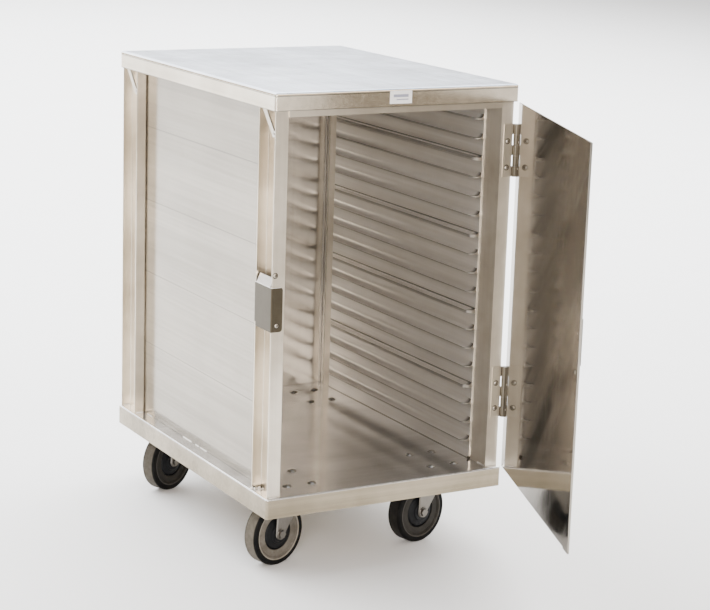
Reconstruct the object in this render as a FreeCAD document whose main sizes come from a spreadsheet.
"""Half-height tray transport cabinet: a welded aluminium box on four swivel casters.

Millimetres, +Z up. The front faces -Y and the cabinet's left side is at -X. Every driving
dimension is a cell of the sheet Dims. Pieces are modelled from the cabinet's front left corner
at floor level, from the hinge line (the door closed) or from a kingpin's axis, and each
sub-part's Placement then moves it into the frame. The frame's origin is on the floor, under the
middle of the whole part with its door standing open at the rest angle.
"""
import FreeCAD, Part
import math
import os
import re
from types import SimpleNamespace

DIMENSIONS = {
    # cabinet, and the frame's origin in it
    "width": 521.0, "depth": 707.0, "top": 924.0, "deck": 162.0, "origin_x": 262.14, "origin_y": 112.13,
    # base pan and top cover
    "rim_height": 39.0, "deck_t": 3.0, "corner_radius": 5.0, "base_edge": 2.5,
    "cover_t": 2.0, "cover_rim": 33.5, "cover_edge": 5.0,
    # posts, rails and braces
    "sheet_t": 2.5, "bend_inside": 1.5, "side_inset": 5.5, "front_inset": 8.0, "rear_inset": 3.0,
    "post_flange": 22.5, "post_lip": 3.5, "front_web": 67.0, "rear_web": 72.0,
    "header_inset": 5.5, "header_drop": 43.5, "header_depth": 25.0,
    "brace_width": 11.0, "brace_t": 3.0, "brace_run": 50.0, "brace_fall": 56.0, "brace_low": 80.0,
    "brace_inset": 5.0,
    # ribbed side walls and rear panel
    "wall_t": 2.0, "wall_front": 71.0, "wall_rear": 46.0, "ledge_pitch": 38.1, "first_ledge": 39.7,
    "ledge_depth": 18.0, "ledge_t": 2.2, "ledge_fillet": 11.0, "joint_rise": 3.3, "joint_ledge_t": 6.0,
    "groove_depth": 1.4, "groove_height": 1.6, "lead_in": 17.0, "tail_taper": 34.0,
    "rear_panel_t": 2.0, "rear_flange": 14.0,
    # door
    "door_width": 510.0, "door_start": 6.0, "door_height": 724.0, "door_lift": 3.0, "door_t": 2.0,
    "door_hem": 31.0, "door_offset": 1.6, "rest_open": 70.0,
    # hinges
    "hinge_out": 5.3, "hinge_forward": 5.2, "hinge_length": 102.0, "leaf_width": 25.0, "leaf_t": 1.6,
    "knuckle_r": 5.2, "pin_r": 2.5, "knuckle_gap": 0.4, "hinge_low": 103.0, "hinge_high": 583.0,
    "run_clearance": 0.05,
    # rivets, catch, pull, magnet and label
    "rivet_r": 4.0, "rivet_head": 1.5, "shank_r": 2.4, "rivet_inset": 26.0, "rivet_side": 16.5,
    "catch_low": 320.0, "catch_height": 84.0, "catch_front": 23.5, "catch_side": 67.0, "catch_t": 2.0,
    "flap_length": 19.0, "flap_lean": 25.0, "pull_foot": 30.0, "pull_grip": 14.0, "pull_proud": 24.0,
    "pull_inset": 100.0, "magnet_start": 6.0, "magnet_width": 17.0, "magnet_t": 1.5,
    "catch_rivet_inset": 8.0,
    "label_width": 47.0, "label_height": 24.0, "label_t": 0.4, "label_left": 236.0, "label_low": 896.0,
    # caster plates, their bolts and the channels above them
    "caster_inset": 100.0, "plate_length": 105.0, "plate_width": 80.0, "plate_t": 3.5,
    "bolts_along": 83.0, "bolts_across": 53.0, "bolt_r": 4.0, "bolt_bore_r": 4.3, "bolt_head_r": 9.5,
    "bolt_head": 4.2, "nut_r": 7.5, "nut_t": 6.5, "channel_t": 2.5, "channel_width": 124.0,
    "channel_rim": 16.0,
    # casters
    "race_r": 30.0, "race_height": 7.0, "king_r": 6.0, "king_bore_r": 6.3, "king_head_r": 10.0,
    "king_head": 5.0, "crown_r": 32.0, "crown_t": 3.5, "crown_gap": 0.6, "fork_gap": 38.0,
    "fork_t": 3.0, "fork_tip_r": 11.5, "fork_front": 25.0, "fork_rear": 46.0, "fork_bend": 3.5,
    "trail": 39.0, "wheel_r": 63.5, "wheel_width": 31.8, "tyre_t": 11.5, "tread_round": 5.0,
    "hub_r": 19.0, "hub_width": 36.4, "web_r": 32.0, "web_t": 12.0, "ring_t": 25.0, "lip_t": 29.0,
    "lip_r": 48.0, "bearing_r": 11.0, "axle_r": 5.0, "axle_head_r": 8.0, "axle_head": 5.0,
}
CORNERS = {
    # side: 0 left, 1 right; end: 0 front, 1 rear; heading: where the caster trails, from +X
    "front_left": SimpleNamespace(side=0, end=0, heading=196.0),
    "front_right": SimpleNamespace(side=1, end=0, heading=193.5),
    "rear_left": SimpleNamespace(side=0, end=1, heading=204.0),
    "rear_right": SimpleNamespace(side=1, end=1, heading=188.0),
}
BAYS = 5
LEDGES_PER_BAY = 4
LEDGES_IN_TOP_BAY = 2
KNUCKLES = 5
TURN = {"+x": ((0, 1, 0), 90), "+y": ((1, 0, 0), -90), "-y": ((1, 0, 0), 90), "+z": ((0, 0, 1), 0)}
HINGE_X = "width - side_inset + hinge_out"
HINGE_Y = "front_inset - hinge_forward"
CATCH_RIVET = ("side_inset + 10", "deck + catch_low + 12")
POST_RIVET = ("side_inset + 6", "deck + catch_low + 106")

doc = FreeCAD.newDocument("transport_cabinet")
sheet = doc.addObject("Spreadsheet::Sheet", "Dims")
sub_parts = []


def fill_sheet():
    """Writes each driving dimension as a plain number with its alias, and reads them back."""
    for row, (alias, value) in enumerate(DIMENSIONS.items(), start=1):
        sheet.set(f"A{row}", alias)
        sheet.set(f"B{row}", str(value))
        sheet.setAlias(f"B{row}", alias)
    doc.recompute()
    return SimpleNamespace(**{alias: float(sheet.get(alias)) for alias in DIMENSIONS})


def bind(obj, path, text):
    """Binds a property to an expression written in the sheet's aliases."""
    obj.setExpression(path, re.sub(r"\b[a-z]\w*", lambda word: "Dims." + word.group(), str(text)))


def shift(obj, x, y, z):
    """Binds the position of a piece within what it belongs to."""
    for axis, text in zip("xyz", (x, y, z)):
        bind(obj, f"Placement.Base.{axis}", text)


def sub_part(label, obj, x="0", y="0", z="0", turn=None):
    """Exports obj as label, its own origin at a point of the cabinet, turned about the vertical."""
    obj.Label = label
    shift(obj, f"({x}) - origin_x", f"({y}) - origin_y", z)
    if turn is not None:
        bind(obj, "Placement.Rotation.Angle", turn)
    sub_parts.append(obj)
    return obj


def door_part(label, obj, z="0"):
    """Exports a piece modelled from the hinge line with the door closed."""
    return sub_part(label, obj, HINGE_X, HINGE_Y, z, turn="rest_open")


# ---- primitives and booleans ----

def box(name, at, size):
    obj = doc.addObject("Part::Box", name)
    for path, text in zip(("Length", "Width", "Height"), size):
        bind(obj, path, text)
    shift(obj, *at)
    return obj


def cylinder(name, at, radius, height, along="+z"):
    obj = doc.addObject("Part::Cylinder", name)
    bind(obj, "Radius", radius)
    bind(obj, "Height", height)
    obj.Placement.Rotation = turned(along)
    shift(obj, *at)
    return obj


def dome(name, at, radius, height, along):
    """A shallow domed head standing on a face at a point, out along a direction."""
    r, rise = getattr(d, radius), getattr(d, height)
    ball = (r * r + rise * rise) / (2 * rise)
    obj = doc.addObject("Part::Sphere", name)
    bind(obj, "Radius", f"({radius} * {radius} + {height} * {height}) / (2 * {height})")
    obj.Angle1 = math.degrees(math.asin((ball - rise) / ball))
    obj.Placement.Rotation = turned(along)
    x, y, z = at
    sunk = f"({radius} * {radius} + {height} * {height}) / (2 * {height}) - {height}"
    if along == "+z":
        z = f"{z} - ({sunk})"
    else:
        y = f"{y} {'-' if along == '+y' else '+'} ({sunk})"
    shift(obj, x, y, z)
    return obj


def turned(along):
    axis, angle = TURN[along]
    return FreeCAD.Rotation(FreeCAD.Vector(*axis), angle)


def fuse(name, pieces):
    obj = doc.addObject("Part::MultiFuse", name)
    obj.Shapes = pieces
    obj.Refine = True
    return obj


def cut(name, base, tool):
    obj = doc.addObject("Part::Cut", name)
    obj.Base = base
    obj.Tool = tool
    return obj


def compound(name, pieces):
    obj = doc.addObject("Part::Compound", name)
    obj.Links = pieces
    return obj


def rounded(name, base, choose, radius):
    """Fillets the edges of base that choose(edge) picks."""
    doc.recompute()
    obj = doc.addObject("Part::Fillet", name)
    obj.Base = base
    obj.Edges = [(i, radius, radius) for i, edge in enumerate(base.Shape.Edges, start=1) if choose(edge)]
    return obj


def upright(edge):
    """Whether an edge is straight and vertical."""
    first, last = edge.Vertexes[0].Point, edge.Vertexes[-1].Point
    return math.hypot(first.x - last.x, first.y - last.y) < 1e-6 < abs(first.z - last.z)


def level_at(height):
    """A test for edges that lie wholly at a height."""
    return lambda edge: all(abs(vertex.Point.z - height) < 1e-6 for vertex in edge.Vertexes)


# ---- sketched sections ----

def sheet_section(points, thickness, inside=None):
    """Points and radii of bent sheet's closed outline: the metal lies to the left of the given polyline."""
    inside = d.bend_inside if inside is None else inside
    points = [FreeCAD.Vector(x, y, 0) for x, y in points]
    runs = [(b - a).normalize() for a, b in zip(points, points[1:])]
    lefts = [FreeCAD.Vector(-run.y, run.x, 0) for run in runs]
    other = [points[0] + lefts[0] * thickness]
    radii, other_radii = [0], [0]
    for corner, before, after, run, following in zip(points[1:], lefts, lefts[1:], runs, runs[1:]):
        bisector = before + after
        other.append(corner + bisector * (2 * thickness / bisector.Length ** 2))
        turn = [inside + thickness, inside]
        if run.cross(following).z < 0:
            turn.reverse()
        radii.append(turn[0])
        other_radii.append(turn[1])
    other.append(points[-1] + lefts[-1] * thickness)
    radii.append(0)
    other_radii.append(0)
    return points + other[::-1], radii + other_radii[::-1]


def rounded_outline(points, radii):
    """Lines and arcs round a closed polygon whose corners have the given radii, 0 for a sharp one."""
    points = [FreeCAD.Vector(p[0], p[1], 0) for p in points]
    starts, ends, curves = [], [], []
    for i, (corner, radius) in enumerate(zip(points, radii)):
        back = (points[i - 1] - corner).normalize()
        ahead = (points[(i + 1) % len(points)] - corner).normalize()
        start = end = corner
        if radius:
            half = back.getAngle(ahead) / 2
            start = corner + back * (radius / math.tan(half))
            end = corner + ahead * (radius / math.tan(half))
            centre = corner + (back + ahead).normalize() * (radius / math.sin(half))
            curves.append(Part.Arc(start, centre + (corner - centre).normalize() * radius, end))
        starts.append(start)
        ends.append(end)
    for leaving, arriving in zip(ends, starts[1:] + starts[:1]):
        if (arriving - leaving).Length > 1e-7:
            curves.append(Part.LineSegment(leaving, arriving))
    return curves


def new_body(name, role, curves):
    """A body with one sketch of the given curves on one of its own origin planes."""
    body = doc.addObject("PartDesign::Body", name)
    return body, new_sketch(body, f"{name}Sketch", role, curves)


def new_sketch(body, name, role, curves):
    sketch = body.newObject("Sketcher::SketchObject", name)
    plane = next(feature for feature in body.Origin.OriginFeatures if feature.Role == role)
    sketch.AttachmentSupport = [(plane, "")]
    sketch.MapMode = "FlatFace"
    for curve in curves:
        sketch.addGeometry(curve, False)
    sketch.Visibility = False
    return sketch


def padded(name, role, curves, length, reverse=False, midplane=False):
    body, sketch = new_body(name, role, curves)
    feature = body.newObject("PartDesign::Pad", f"{name}Pad")
    feature.Profile = sketch
    bind(feature, "Length", length)
    feature.Reversed = reverse
    feature.Midplane = midplane
    return body


def pocketed(body, name, role, curves, length):
    """Cuts a sketched outline through a body, to both sides of the sketch's plane."""
    feature = body.newObject("PartDesign::Pocket", f"{name}Pocket")
    feature.Profile = new_sketch(body, f"{name}Sketch", role, curves)
    bind(feature, "Length", length)
    feature.Midplane = True


def revolved(name, curves):
    """A body turned about its own Y axis from a half section of radius (X) against width (Y)."""
    body, sketch = new_body(name, "XY_Plane", curves)
    feature = body.newObject("PartDesign::Revolution", f"{name}Revolution")
    feature.Profile = sketch
    feature.ReferenceAxis = (sketch, ["V_Axis"])
    feature.Angle = 360
    return body


# ---- base and top ----

def pan(name, height, level, thickness, edge):
    """An open-bottomed pan with rounded corners and a soft upper edge, its top at a level."""
    top = getattr(d, level)
    block = box(f"{name}Block", ("0", "0", f"{level} - {height}"), ("width", "depth", height))
    outside = rounded(f"{name}Corners", block, upright, d.corner_radius)
    outside = rounded(f"{name}Edges", outside, level_at(top), edge)
    room = box(f"{name}Room", (thickness, thickness, f"{level} - {height} - {thickness}"),
               (f"width - 2 * {thickness}", f"depth - 2 * {thickness}", height))
    return cut(f"{name}Pan", outside, rounded(f"{name}RoomCorners", room, upright,
                                              d.corner_radius - getattr(d, thickness)))


def make_base_pan():
    """Deck and turned-down rim in one pan, with the caster bolts' holes."""
    hollow = pan("Base", "rim_height", "deck", "deck_t", d.base_edge)
    return sub_part("base_pan", cut("BaseDrilled", hollow, bolt_bores("BaseBores")))


def make_top_cover():
    """Folded cover with a soft top edge and a turned-down rim all round."""
    return sub_part("top_cover", pan("Cover", "cover_rim", "top", "cover_t", d.cover_edge))


def caster_x(corner):
    return "width - caster_inset" if corner.side else "caster_inset"


def caster_y(corner):
    return "depth - caster_inset" if corner.end else "caster_inset"


def bolt_places():
    """The four bolt centres of each caster plate."""
    return [(f"{caster_x(corner)} {across} bolts_across / 2", f"{caster_y(corner)} {along} bolts_along / 2")
            for corner in CORNERS.values() for across in "-+" for along in "-+"]


def bolt_bores(name):
    """Clearance holes through deck, channels and caster plates."""
    depth = "deck_t + channel_t + plate_t + 2"
    return compound(name, [cylinder(f"{name}{i}", (x, y, f"deck + 1 - ({depth})"), "bolt_bore_r", depth)
                           for i, (x, y) in enumerate(bolt_places())])


def make_caster_channels():
    """Two channels under the deck, front and rear, that spread the casters' load."""
    half, rim = d.channel_width / 2, d.channel_rim
    section = sheet_section([(-half, -rim), (-half, 0), (half, 0), (half, -rim)][::-1], d.channel_t)
    channels = []
    for label, middle in (("Front", "caster_inset"), ("Rear", "depth - caster_inset")):
        body = padded(f"Channel{label}", "YZ_Plane", rounded_outline(*section), "width - 2 * deck_t - 4")
        shift(body, "deck_t + 2", middle, "deck - deck_t")
        channels.append(body)
    return sub_part("caster_channels", cut("ChannelsDrilled", compound("Channels", channels),
                                           bolt_bores("ChannelBores")))


# ---- frame ----

def post_web(corner):
    return "rear_web" if corner.end else "front_web"


def post_y(corner):
    return "depth - rear_inset - rear_web" if corner.end else "front_inset"


def make_posts():
    """Corner channels that open outwards, standing on the deck up to the cover."""
    for label, corner in CORNERS.items():
        name = f"Post{label.title().replace('_', '')}"
        reach, web = d.post_flange, getattr(d, post_web(corner))
        section = [(0, 0), (reach, 0), (reach, web), (0, web)]
        if corner.side:
            section = [(-x, y) for x, y in reversed(section)]
        body = padded(name, "XY_Plane", rounded_outline(*sheet_section(section, d.sheet_t)),
                      "top - cover_t - deck")
        corner_at = ("width - side_inset" if corner.side else "side_inset", post_y(corner), "deck")
        if corner.end:
            sub_part(f"post_{label}", body, *corner_at)
            continue
        shift(body, *corner_at)
        bores = post_rivet_bores() if corner.side else catch_rivet_bores("PostCatch")
        lipped = fuse(f"{name}Lipped", [body, post_lip(name, corner)])
        sub_part(f"post_{label}", cut(f"{name}Drilled", lipped, bores))


def post_lip(name, corner):
    """The fold that carries a front post's flange a little past its web."""
    inner = "side_inset + post_flange"
    overlap = "bend_inside + sheet_t"
    start = f"width - {inner.replace('+', '-')} - post_lip" if corner.side else f"{inner} - ({overlap})"
    return box(f"{name}Lip", (start, "front_inset", "deck"),
               (f"post_lip + {overlap}", "2 * sheet_t", "top - cover_t - deck"))


def make_headers():
    """Angle rails between the posts' tops, front and rear."""
    for label, turn in (("front", 1), ("rear", -1)):
        section = [(turn * d.header_depth, 0), (0, 0), (0, -d.header_drop)][::turn]
        inset = "header_inset" if turn > 0 else "depth - rear_inset - 0.5 - rear_panel_t"
        start = f"side_inset + post_flange + {'post_lip' if turn > 0 else 'rear_panel_t + 2.5'}"
        outline = rounded_outline(*sheet_section(section, d.sheet_t))
        body = padded(f"Header{label.title()}", "YZ_Plane", outline, f"width - 2 * ({start})")
        sub_part(f"header_{label}", body, start, inset, "top - cover_t")


def make_post_braces():
    """A short flat brace across the mouth of each post channel, just under the cover."""
    length = math.hypot(d.brace_run, d.brace_fall)
    across = FreeCAD.Vector(d.brace_fall, -d.brace_run, 0) * (d.brace_width / 2 / length)
    ends = FreeCAD.Vector(0, 0, 0), FreeCAD.Vector(d.brace_run, d.brace_fall, 0)
    outline = [ends[0] + across, ends[1] + across, ends[1] - across, ends[0] - across]
    braces = []
    for label, corner in CORNERS.items():
        body = padded(f"Brace{label.title().replace('_', '')}", "YZ_Plane",
                      rounded_outline(outline, [2.0] * 4), "brace_t")
        shift(body, "width - side_inset - 1 - brace_t" if corner.side else "side_inset + 1",
              f"{post_y(corner)} + sheet_t + brace_inset", "top - brace_low")
        braces.append(body)
    return sub_part("post_braces", compound("PostBraces", braces))


# ---- ribbed side walls and rear panel ----

def bay_heights(bay):
    """Bottom and top of a wall bay above the deck: the seams are just above every fourth ledge."""
    rise = LEDGES_PER_BAY * d.ledge_pitch
    first_seam = d.first_ledge + (LEDGES_PER_BAY - 1) * d.ledge_pitch + d.joint_rise
    bottom = first_seam + (bay - 1) * rise if bay else 0
    top = first_seam + bay * rise if bay < BAYS - 1 else d.top - d.cover_t - d.deck
    return bottom, top


def wall_section(bay):
    """One extruded wall bay's outline: x inwards from its outer face, y up from the deck."""
    bottom, top = bay_heights(bay)
    wall, reach = d.wall_t, d.wall_t + d.ledge_depth
    corners = [(0, bottom, 0), (wall, bottom, 0)]
    for step in range(LEDGES_IN_TOP_BAY if bay == BAYS - 1 else LEDGES_PER_BAY):
        ledge = d.first_ledge + (bay * LEDGES_PER_BAY + step) * d.ledge_pitch
        if step < LEDGES_PER_BAY - 1:
            corners += [(wall, ledge - d.ledge_t, 1), (reach, ledge - d.ledge_t, 0.6), (reach, ledge, 0.6),
                        (wall, ledge, d.ledge_fillet)]
        else:
            corners += joint_ledge(ledge, wall, reach)
    inner = wall if bay == BAYS - 1 else wall + d.joint_rise
    corners += [(inner, top, 0), (0, top, 0)]
    return corners


def joint_ledge(ledge, wall, reach):
    """The thick, grooved ledge at a bay's top, and the lip that the next bay stands on."""
    under = ledge - d.joint_ledge_t
    low = ledge - (d.joint_ledge_t + d.groove_height) / 2
    high = low + d.groove_height
    return [(wall, under, 1), (reach, under, 0.6), (reach, low, 0), (reach - d.groove_depth, low, 0),
            (reach - d.groove_depth, high, 0), (reach, high, 0), (reach, ledge, 0.6),
            (wall + d.joint_rise, ledge, d.joint_rise / 2)]


def front_end_outline():
    """Plan of what is cut from the ledges' front ends: each end is left as a quarter round."""
    tip, radius = d.wall_t + d.ledge_depth, d.lead_in
    points = [(tip - radius, 0), (tip - radius, -1), (tip + 1, -1), (tip + 1, radius), (tip, radius)]
    corner = FreeCAD.Vector(tip, 0, 0)
    half = radius * math.sqrt(0.5)
    middle = FreeCAD.Vector(corner.x - radius + half, radius - half, 0)
    return points, middle


def make_side_walls():
    """Five interlocking extrusions a side, inside the post webs, with tray ledges."""
    length = d.depth - d.wall_front - d.wall_rear
    tip = d.wall_t + d.ledge_depth
    tail = [(d.wall_t, length), (tip, length - d.tail_taper), (tip + 1, length - d.tail_taper),
            (tip + 1, length + 1), (d.wall_t, length + 1)]
    head, middle = front_end_outline()
    for label, inward in (("left", 1), ("right", -1)):
        for bay in range(BAYS):
            name = f"Wall{label.title()}{bay + 1}"
            corners = wall_section(bay)
            outline = rounded_outline([(inward * x, z) for x, z, _ in corners], [r for _, _, r in corners])
            body = padded(name, "XZ_Plane", outline, "depth - wall_front - wall_rear", reverse=True)
            lines = [FreeCAD.Vector(inward * x, y, 0) for x, y in head]
            quarter = Part.Arc(lines[-1], FreeCAD.Vector(inward * middle.x, middle.y, 0), lines[0])
            straight = [Part.LineSegment(a, b) for a, b in zip(lines, lines[1:])]
            pocketed(body, f"{name}Head", "XY_Plane", [*straight, quarter], "2 * top")
            pocketed(body, f"{name}Tail", "XY_Plane",
                     rounded_outline([(inward * x, y) for x, y in tail], [0] * len(tail)), "2 * top")
            side = "side_inset + post_flange" if inward > 0 else "width - side_inset - post_flange"
            sub_part(f"side_wall_{label}_{bay + 1}", body, side, "wall_front", "deck")


def make_rear_panel():
    """Flat back sheet between the rear posts, with its side edges turned forward."""
    half = d.width / 2 - d.side_inset - d.post_flange - 0.5
    section = [(half, -d.rear_flange), (half, 0), (-half, 0), (-half, -d.rear_flange)]
    body = padded("RearPanel", "XY_Plane", rounded_outline(*sheet_section(section, d.rear_panel_t)),
                  "top - cover_t - deck")
    return sub_part("rear_panel", body, "width / 2", "depth - rear_inset - 0.5", "deck")


# ---- hinges ----

def hinge_heights():
    return {"lower": "deck + hinge_low", "upper": "deck + hinge_high"}


def rivet_heights():
    """Heights above the deck of the two rivets of each hinge leaf."""
    for low in (d.hinge_low, d.hinge_high):
        for inset in (d.rivet_inset - 8, d.hinge_length - d.rivet_inset - 7):
            yield f"deck + {low + inset}"


def hinge_leaf(name, low, first, leaf_y, bore):
    """A leaf from the hinge line, with its own knuckles, notched round the other leaf's knuckles."""
    pitch, gap = d.hinge_length / KNUCKLES, d.knuckle_gap
    leaf = box(f"{name}Plate", ("-leaf_width", leaf_y, low), ("leaf_width", "leaf_t", "hinge_length"))
    reliefs = [box(f"{name}Relief{i}", ("-knuckle_r - 1", "-2 * knuckle_r", f"{low} + {i * pitch - gap / 2}"),
                   ("knuckle_r + 3", "4 * knuckle_r", f"{pitch + gap}"))
               for i in range(1 - first, KNUCKLES, 2)]
    knuckles = [cylinder(f"{name}Knuckle{i}", ("0", "0", f"{low} + {i * pitch + gap / 2}"), "knuckle_r",
                         f"{pitch - gap}") for i in range(first, KNUCKLES, 2)]
    notched = cut(f"{name}Notched", leaf, compound(f"{name}Reliefs", reliefs))
    pin_room = cylinder(f"{name}Bore", ("0", "0", f"{low} - 1"), bore, "hinge_length + 2")
    return cut(f"{name}Bored", fuse(f"{name}Solid", [notched, *knuckles]), pin_room)


def make_hinges():
    """Two five-knuckle butt hinges: three knuckles on the post, two on the door."""
    pins = []
    for label, low in hinge_heights().items():
        name = f"Hinge{label.title()}"
        post_leaf = hinge_leaf(f"{name}Post", low, 0, "hinge_forward - leaf_t", "pin_r")
        post_leaf = cut(f"{name}PostDrilled", post_leaf, hinge_rivet_bores(f"{name}A"))
        sub_part(f"hinge_{label}_post_leaf", post_leaf, HINGE_X, HINGE_Y)
        door_leaf = hinge_leaf(f"{name}Door", low, 1, "-knuckle_r", "pin_r + run_clearance")
        door_leaf = cut(f"{name}DoorDrilled", door_leaf, hinge_rivet_bores(f"{name}B"))
        door_part(f"hinge_{label}_door_leaf", door_leaf)
        pins.append(cylinder(f"{name}Pin", ("0", "0", low), "pin_r", "hinge_length"))
    return sub_part("hinge_pins", compound("HingePins", pins), HINGE_X, HINGE_Y)


def hinge_rivet_bores(name):
    """Rivet holes on the leaves' line, through anything near the hinge line's front and back."""
    return compound(f"{name}Bores", [
        cylinder(f"{name}Bore{i}", ("-rivet_side", "-10", z), "shank_r", "20 + hinge_forward", along="+y")
        for i, z in enumerate(rivet_heights())])


def post_rivet_bores():
    bores = hinge_rivet_bores("PostHinge")
    shift(bores, HINGE_X, HINGE_Y, "0")
    return bores


# ---- door ----

def make_door():
    """Flat door sheet whose free edge is folded back flat on its inner face."""
    inner, outer = -d.door_offset, -d.door_offset - d.door_t
    free, fold = d.door_start + d.door_width, inner + d.door_t
    outline = [(-d.door_start, outer), (-free, outer), (-free, fold), (-free + d.door_hem, fold),
               (-free + d.door_hem, inner), (-d.door_start, inner)]
    body = padded("DoorSheet", "XY_Plane", rounded_outline(outline, [0, d.door_t, d.door_t, 0, 0, 0]),
                  "door_height")
    shift(body, "0", "0", "deck + door_lift")
    bores = compound("DoorBores", [hinge_rivet_bores("DoorHinge"), free_edge_bores("DoorPull")])
    return door_part("door_panel", cut("DoorDrilled", body, bores))


def catch_rivet_heights():
    """Heights of the rivets of the pull and of the magnet strip, level with the catch's ends."""
    return ["deck + catch_low + catch_rivet_inset", "deck + catch_low + catch_height - catch_rivet_inset"]


def pull_rivet_x():
    return "pull_inset + pull_foot / 2 - door_start - door_width"


def magnet_rivet_x():
    return "magnet_start + magnet_width / 2 - door_start - door_width"


def free_edge_bores(name):
    """Holes for the rivets of the pull and of the magnet strip."""
    return compound(f"{name}Bores", [
        cylinder(f"{name}Bore{i}{j}", (x, "-20", z), "shank_r", "30", along="+y")
        for i, z in enumerate(catch_rivet_heights())
        for j, x in enumerate((pull_rivet_x(), magnet_rivet_x()))])


def make_door_pull():
    """Folded grip on the door's outer face, and the magnet strip that holds the door to the catch."""
    web = d.pull_inset - d.door_start - d.door_width
    face = -d.door_offset - d.door_t
    section = [(web - d.pull_grip, face - d.pull_proud), (web, face - d.pull_proud), (web, face),
               (web + d.pull_foot, face)]
    body = padded("PullSheet", "XY_Plane", rounded_outline(*sheet_section(section[::-1], d.catch_t)),
                  "catch_height")
    shift(body, "0", "0", "deck + catch_low")
    door_part("door_pull", cut("PullDrilled", body, free_edge_bores("Pull")))
    strip = box("MagnetStrip", ("magnet_start - door_start - door_width", "-door_offset - door_t - magnet_t",
                                "deck + catch_low"), ("magnet_width", "magnet_t", "catch_height"))
    return door_part("door_magnet", cut("MagnetDrilled", strip, free_edge_bores("Magnet")))


# ---- rivets, catch and label ----

def rivet(name, x, front, back, z, heads):
    """A rivet along Y whose shank runs from front to back; heads lists its domed ends, the rest are flush."""
    pieces = [cylinder(f"{name}Shank", (x, front, z), "shank_r", f"{back} - ({front})", along="+y")]
    for along in heads:
        face = front if along == "-y" else back
        pieces.append(dome(f"{name}Head{len(pieces)}", (x, face, z), "rivet_r", "rivet_head", along))
    return fuse(name, pieces) if heads else pieces[0]


def make_frame_rivets():
    """Rivets of the hinges' post leaves and of the catch."""
    hinge = [rivet(f"HingeRivet{i}", f"{HINGE_X} - rivet_side", "front_inset - leaf_t",
                   "front_inset + sheet_t", z, ["-y", "+y"]) for i, z in enumerate(rivet_heights())]
    x, z = CATCH_RIVET
    catch = rivet("CatchRivet", x, "front_inset - catch_t", "front_inset + sheet_t", z, ["-y", "+y"])
    x, z = POST_RIVET
    single = rivet("PostRivet", x, "front_inset", "front_inset + sheet_t", z, ["-y"])
    return sub_part("frame_rivets", compound("FrameRivets", [*hinge, catch, single]))


def make_door_rivets():
    """Rivets of the hinges' door leaves, the pull and the magnet strip: one is domed on the inside."""
    hinge = [rivet(f"LeafRivet{i}", "-rivet_side", "-knuckle_r", "-door_offset", z, ["-y"])
             for i, z in enumerate(rivet_heights())]
    outer, fold = "-door_offset - door_t", "door_t - door_offset"
    pull = [rivet(f"PullRivet{i}", pull_rivet_x(), f"{outer} - catch_t", "-door_offset", z, ["-y"])
            for i, z in enumerate(catch_rivet_heights())]
    strip = [rivet(f"StripRivet{i}", magnet_rivet_x(), f"{outer} - magnet_t", fold, z, heads)
             for i, (z, heads) in enumerate(zip(catch_rivet_heights(), (["+y"], [])))]
    return door_part("door_rivets", compound("DoorRivets", hinge + pull + strip))


def catch_rivet_bores(name):
    """Holes of the catch's rivet and of the single rivet above it."""
    return compound(f"{name}Bores", [cylinder(f"{name}Bore{i}", (x, "-5", z), "shank_r", "20", along="+y")
                                     for i, (x, z) in enumerate((CATCH_RIVET, POST_RIVET))])


def make_catch():
    """Steel strike bent round the left front post, with a flap leaning in over the post's mouth."""
    section = [(d.catch_front, 0), (0, 0), (0, d.catch_side)]
    outline = rounded_outline(*sheet_section(section[::-1], d.catch_t, inside=0))
    strike = padded("CatchSheet", "XY_Plane", outline, "catch_height")
    shift(strike, "side_inset - catch_t", "front_inset - catch_t", "deck + catch_low")
    strike = rounded("CatchCorners", strike, free_leg_corner, 6.0)
    flap = box("CatchFlap", ("0", "front_inset + 5", "0"), ("catch_t", "catch_side - 12", "flap_length"))
    flap.Placement.Rotation = FreeCAD.Rotation(FreeCAD.Vector(0, 1, 0), d.flap_lean)
    shift(flap, "side_inset - catch_t", "front_inset + 5", "deck + catch_low + catch_height - 0.85")
    notch = box("CatchNotch", ("side_inset - 5", "front_inset + catch_side - 6", "deck + catch_low - 1"),
                ("10", "10", "9"))
    body = cut("CatchNotched", fuse("CatchSolid", [strike, flap]), notch)
    return sub_part("catch_bracket", cut("CatchDrilled", body, catch_rivet_bores("Catch")))


def free_leg_corner(edge):
    """Whether an edge is a short end corner of the catch's front leg."""
    first, last = edge.Vertexes[0].Point, edge.Vertexes[-1].Point
    along_y = abs(first.x - last.x) < 1e-6 and abs(first.z - last.z) < 1e-6
    return along_y and abs(first.x - (d.side_inset - d.catch_t + d.catch_front)) < 1e-6


def make_label():
    """Thin plain plate on the front of the cover's rim."""
    plate = box("LabelPlate", ("label_left", "-label_t", "label_low"),
                ("label_width", "label_t", "label_height"))
    return sub_part("label_plate", compound("Label", [plate]))


# ---- casters ----

def make_caster_bolts():
    """Round-headed bolts with nuts, four to a caster, heads inside the cabinet."""
    bolts = []
    under = "deck - deck_t - channel_t - plate_t"
    for i, (x, y) in enumerate(bolt_places()):
        shank = cylinder(f"BoltShank{i}", (x, y, f"{under} - nut_t"), "bolt_r", f"deck - ({under}) + nut_t")
        head = dome(f"BoltHead{i}", (x, y, "deck"), "bolt_head_r", "bolt_head", "+z")
        nut = doc.addObject("Part::Prism", f"BoltNut{i}")
        nut.Polygon = 6
        bind(nut, "Circumradius", "nut_r")
        bind(nut, "Height", "nut_t")
        shift(nut, x, y, f"{under} - nut_t")
        bolts.append(fuse(f"Bolt{i}", [shank, head, nut]))
    return sub_part("caster_bolts", compound("CasterBolts", bolts))


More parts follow.
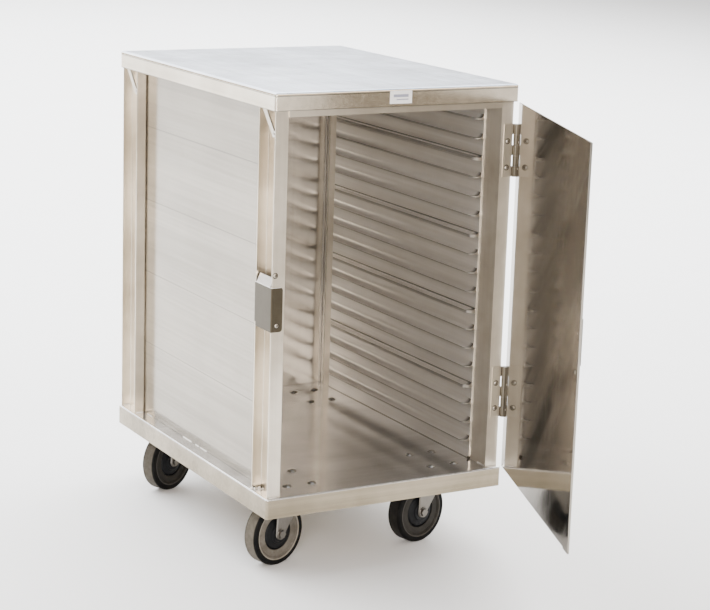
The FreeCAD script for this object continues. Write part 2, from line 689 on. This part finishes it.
def make_kingpins():
    """Headed kingpins that hold the yokes up under the caster plates."""
    top = "deck - deck_t - channel_t"
    under = f"{top} - plate_t - race_height - crown_gap - crown_t - 0.3"
    pins = []
    for label, corner in CORNERS.items():
        shank = cylinder(f"KingShank_{label}", (caster_x(corner), caster_y(corner), under), "king_r",
                         f"{top} - ({under})")
        head = cylinder(f"KingHead_{label}", (caster_x(corner), caster_y(corner), f"{under} - king_head"),
                        "king_head_r", "king_head")
        pins.append(fuse(f"Kingpin_{label}", [shank, head]))
    return sub_part("caster_kingpins", compound("Kingpins", pins))


def make_caster(label, corner):
    """Fixed plate, swivelling yoke, and the wheel that trails behind the kingpin."""
    name = label.title().replace("_", "")
    x, y, turn = caster_x(corner), caster_y(corner), str(corner.heading)
    sub_part(f"caster_plate_{label}", caster_plate(name), x, y)
    sub_part(f"caster_yoke_{label}", caster_yoke(name), x, y, turn=turn)
    angle = math.radians(corner.heading)
    hub = (f"{x} + trail * ({math.cos(angle):.9f})", f"{y} + trail * ({math.sin(angle):.9f})", "wheel_r")
    sub_part(f"caster_axle_{label}", caster_axle(name), *hub, turn=turn)
    sub_part(f"wheel_core_{label}", wheel_core(name), *hub, turn=turn)
    sub_part(f"wheel_bearing_{label}", wheel_bearing(name), *hub, turn=turn)
    sub_part(f"tyre_{label}", tyre(name), *hub, turn=turn)


def caster_plate(name):
    """Top plate with bolt holes, and the round raceway under it."""
    low = "deck - deck_t - channel_t - plate_t"
    plate = box(f"Plate{name}", ("-plate_width / 2", "-plate_length / 2", low),
                ("plate_width", "plate_length", "plate_t"))
    plate = rounded(f"Plate{name}Corners", plate, upright, 6.0)
    race = cylinder(f"Race{name}", ("0", "0", f"{low} - race_height"), "race_r", "race_height")
    bores = [cylinder(f"Plate{name}Bore{i}",
                      (f"{a} * bolts_across / 2", f"{b} * bolts_along / 2", f"{low} - 1"),
                      "bolt_bore_r", "plate_t + 2")
             for i, (a, b) in enumerate(((-1, -1), (-1, 1), (1, -1), (1, 1)))]
    bores.append(cylinder(f"Plate{name}King", ("0", "0", f"{low} - race_height - 1"), "king_r",
                          "plate_t + race_height + 2"))
    solid = fuse(f"Plate{name}Solid", [plate, race])
    return cut(f"Plate{name}Drilled", solid, compound(f"Plate{name}Bores", bores))


def caster_yoke(name):
    """Bent fork under a round crown: its legs run down and back to the axle."""
    top = d.deck - d.deck_t - d.channel_t - d.plate_t - d.race_height - d.crown_gap
    tip, trail, low = d.fork_tip_r, d.trail, d.wheel_r
    corners = [(-d.fork_front, top, 5), (-d.fork_front, top - 9, 8), (trail - tip - 1.5, low, 3),
               (trail - tip, low - tip, tip - 1), (trail + tip, low - tip, tip - 1), (trail + tip, low, 3),
               (d.fork_rear, top, 5)]
    outline = rounded_outline([(x, z) for x, z, _ in corners], [r for _, _, r in corners])
    side = padded(f"Fork{name}", "XZ_Plane", outline, "fork_gap + 2 * fork_t", midplane=True)
    bend = rounded(f"Fork{name}Bends", side, fork_top_edge(top), d.fork_bend)
    under = "deck - deck_t - channel_t - plate_t - race_height - crown_gap - crown_t"
    slot = box(f"Fork{name}Slot", ("-100", "-fork_gap / 2", "0"), ("200", "fork_gap", under))
    disc = cylinder(f"Crown{name}", ("0", "0", under), "crown_r", "crown_t")
    king_bore = cylinder(f"Fork{name}King", ("0", "0", f"{under} - 1"), "king_bore_r", "crown_t + 2")
    axle_bore = cylinder(f"Fork{name}Axle", ("trail", "-fork_gap", "wheel_r"), "axle_r", "2 * fork_gap",
                         along="+y")
    solid = fuse(f"Fork{name}Solid", [cut(f"Fork{name}Hollow", bend, slot), disc])
    return cut(f"Fork{name}Drilled", solid, compound(f"Fork{name}Bores", [king_bore, axle_bore]))


def fork_top_edge(top):
    """A test for the two straight edges along the top of the fork's sides."""
    half = d.fork_gap / 2 + d.fork_t

    def choose(edge):
        return all(abs(v.Point.z - top) < 1e-6 and abs(abs(v.Point.y) - half) < 1e-6 for v in edge.Vertexes) \
            and edge.Vertexes[0].Point.y * edge.Vertexes[-1].Point.y > 0
    return choose


def caster_axle(name):
    """Axle bolt through the fork, with a hexagonal head and nut."""
    half = "fork_gap / 2 + fork_t"
    shank = cylinder(f"Axle{name}", ("0", f"-({half}) - axle_head", "0"), "axle_r",
                     f"2 * ({half} + axle_head)", along="+y")
    pieces = [shank]
    for end, start in (("Head", f"-({half}) - axle_head"), ("Nut", half)):
        hexagon = doc.addObject("Part::Prism", f"Axle{name}{end}")
        hexagon.Polygon = 6
        bind(hexagon, "Circumradius", "axle_head_r")
        bind(hexagon, "Height", "axle_head")
        hexagon.Placement.Rotation = turned("+y")
        shift(hexagon, "0", start, "0")
        pieces.append(hexagon)
    return fuse(f"Axle{name}Solid", pieces)


def wheel_core(name):
    """Moulded core: a hub, a thin web, a thick ring and a lip each side of the tyre's seat."""
    seat = d.wheel_r - d.tyre_t
    half = [(d.bearing_r, d.hub_width / 2, 0), (d.hub_r, d.hub_width / 2, 1.5), (d.hub_r + 1, d.web_t / 2, 2),
            (d.web_r, d.web_t / 2, 2), (d.web_r + 2, d.ring_t / 2, 1), (d.lip_r - 1, d.ring_t / 2, 1),
            (d.lip_r, d.lip_t / 2, 0.6), (seat, d.lip_t / 2, 0)]
    corners = half + [(r, -y, fillet) for r, y, fillet in reversed(half)]
    outline = rounded_outline([(r, y) for r, y, _ in corners], [f for _, _, f in corners])
    return revolved(f"Core{name}", outline)


def wheel_bearing(name):
    """Bearing sleeve pressed into the hub, running on the axle."""
    inner, half = d.axle_r + d.run_clearance, d.hub_width / 2 + 0.4
    outline = [(inner, -half), (d.bearing_r, -half), (d.bearing_r, half), (inner, half)]
    return revolved(f"Bearing{name}", rounded_outline(outline, [0] * 4))


def tyre(name):
    """Solid rubber tread with rounded shoulders."""
    seat, half = d.wheel_r - d.tyre_t, d.wheel_width / 2
    outline = [(seat, -half), (d.wheel_r, -half), (d.wheel_r, half), (seat, half)]
    return revolved(f"Tyre{name}", rounded_outline(outline, [1.0, d.tread_round, d.tread_round, 1.0]))


# ---- the whole cabinet ----

def build():
    make_base_pan()
    make_caster_channels()
    make_top_cover()
    make_posts()
    make_headers()
    make_post_braces()
    make_side_walls()
    make_rear_panel()
    make_hinges()
    make_door()
    make_door_pull()
    make_catch()
    make_label()
    make_frame_rivets()
    make_door_rivets()
    make_caster_bolts()
    make_kingpins()
    for label, corner in CORNERS.items():
        make_caster(label, corner)


def check():
    """Stops with a message if any object failed or any sub-part's shape is empty or invalid."""
    failed = [obj.Name for obj in doc.Objects if {"Invalid", "Error"} & set(obj.State)]
    bad = [obj.Label for obj in sub_parts if obj.Shape.isNull() or not obj.Shape.isValid()]
    bad += [obj.Label for obj in sub_parts if not obj.Shape.Solids]
    if failed or bad:
        raise RuntimeError(f"failed objects: {failed}; bad sub-parts: {bad}")


def export():
    os.makedirs("parts", exist_ok=True)
    whole = FreeCAD.BoundBox()
    for obj in sub_parts:
        obj.Shape.exportStep(f"parts/{obj.Label}.step")
        box_of = obj.Shape.optimalBoundingBox(False)
        whole.add(box_of)
        print(f"{obj.Label}: {len(obj.Shape.Solids)} solids, {obj.Shape.Volume / 1000:.2f} cm3, {box_of}")
    print(f"{len(sub_parts)} sub-parts, {whole}")


d = fill_sheet()
build()
doc.recompute()
check()
export()
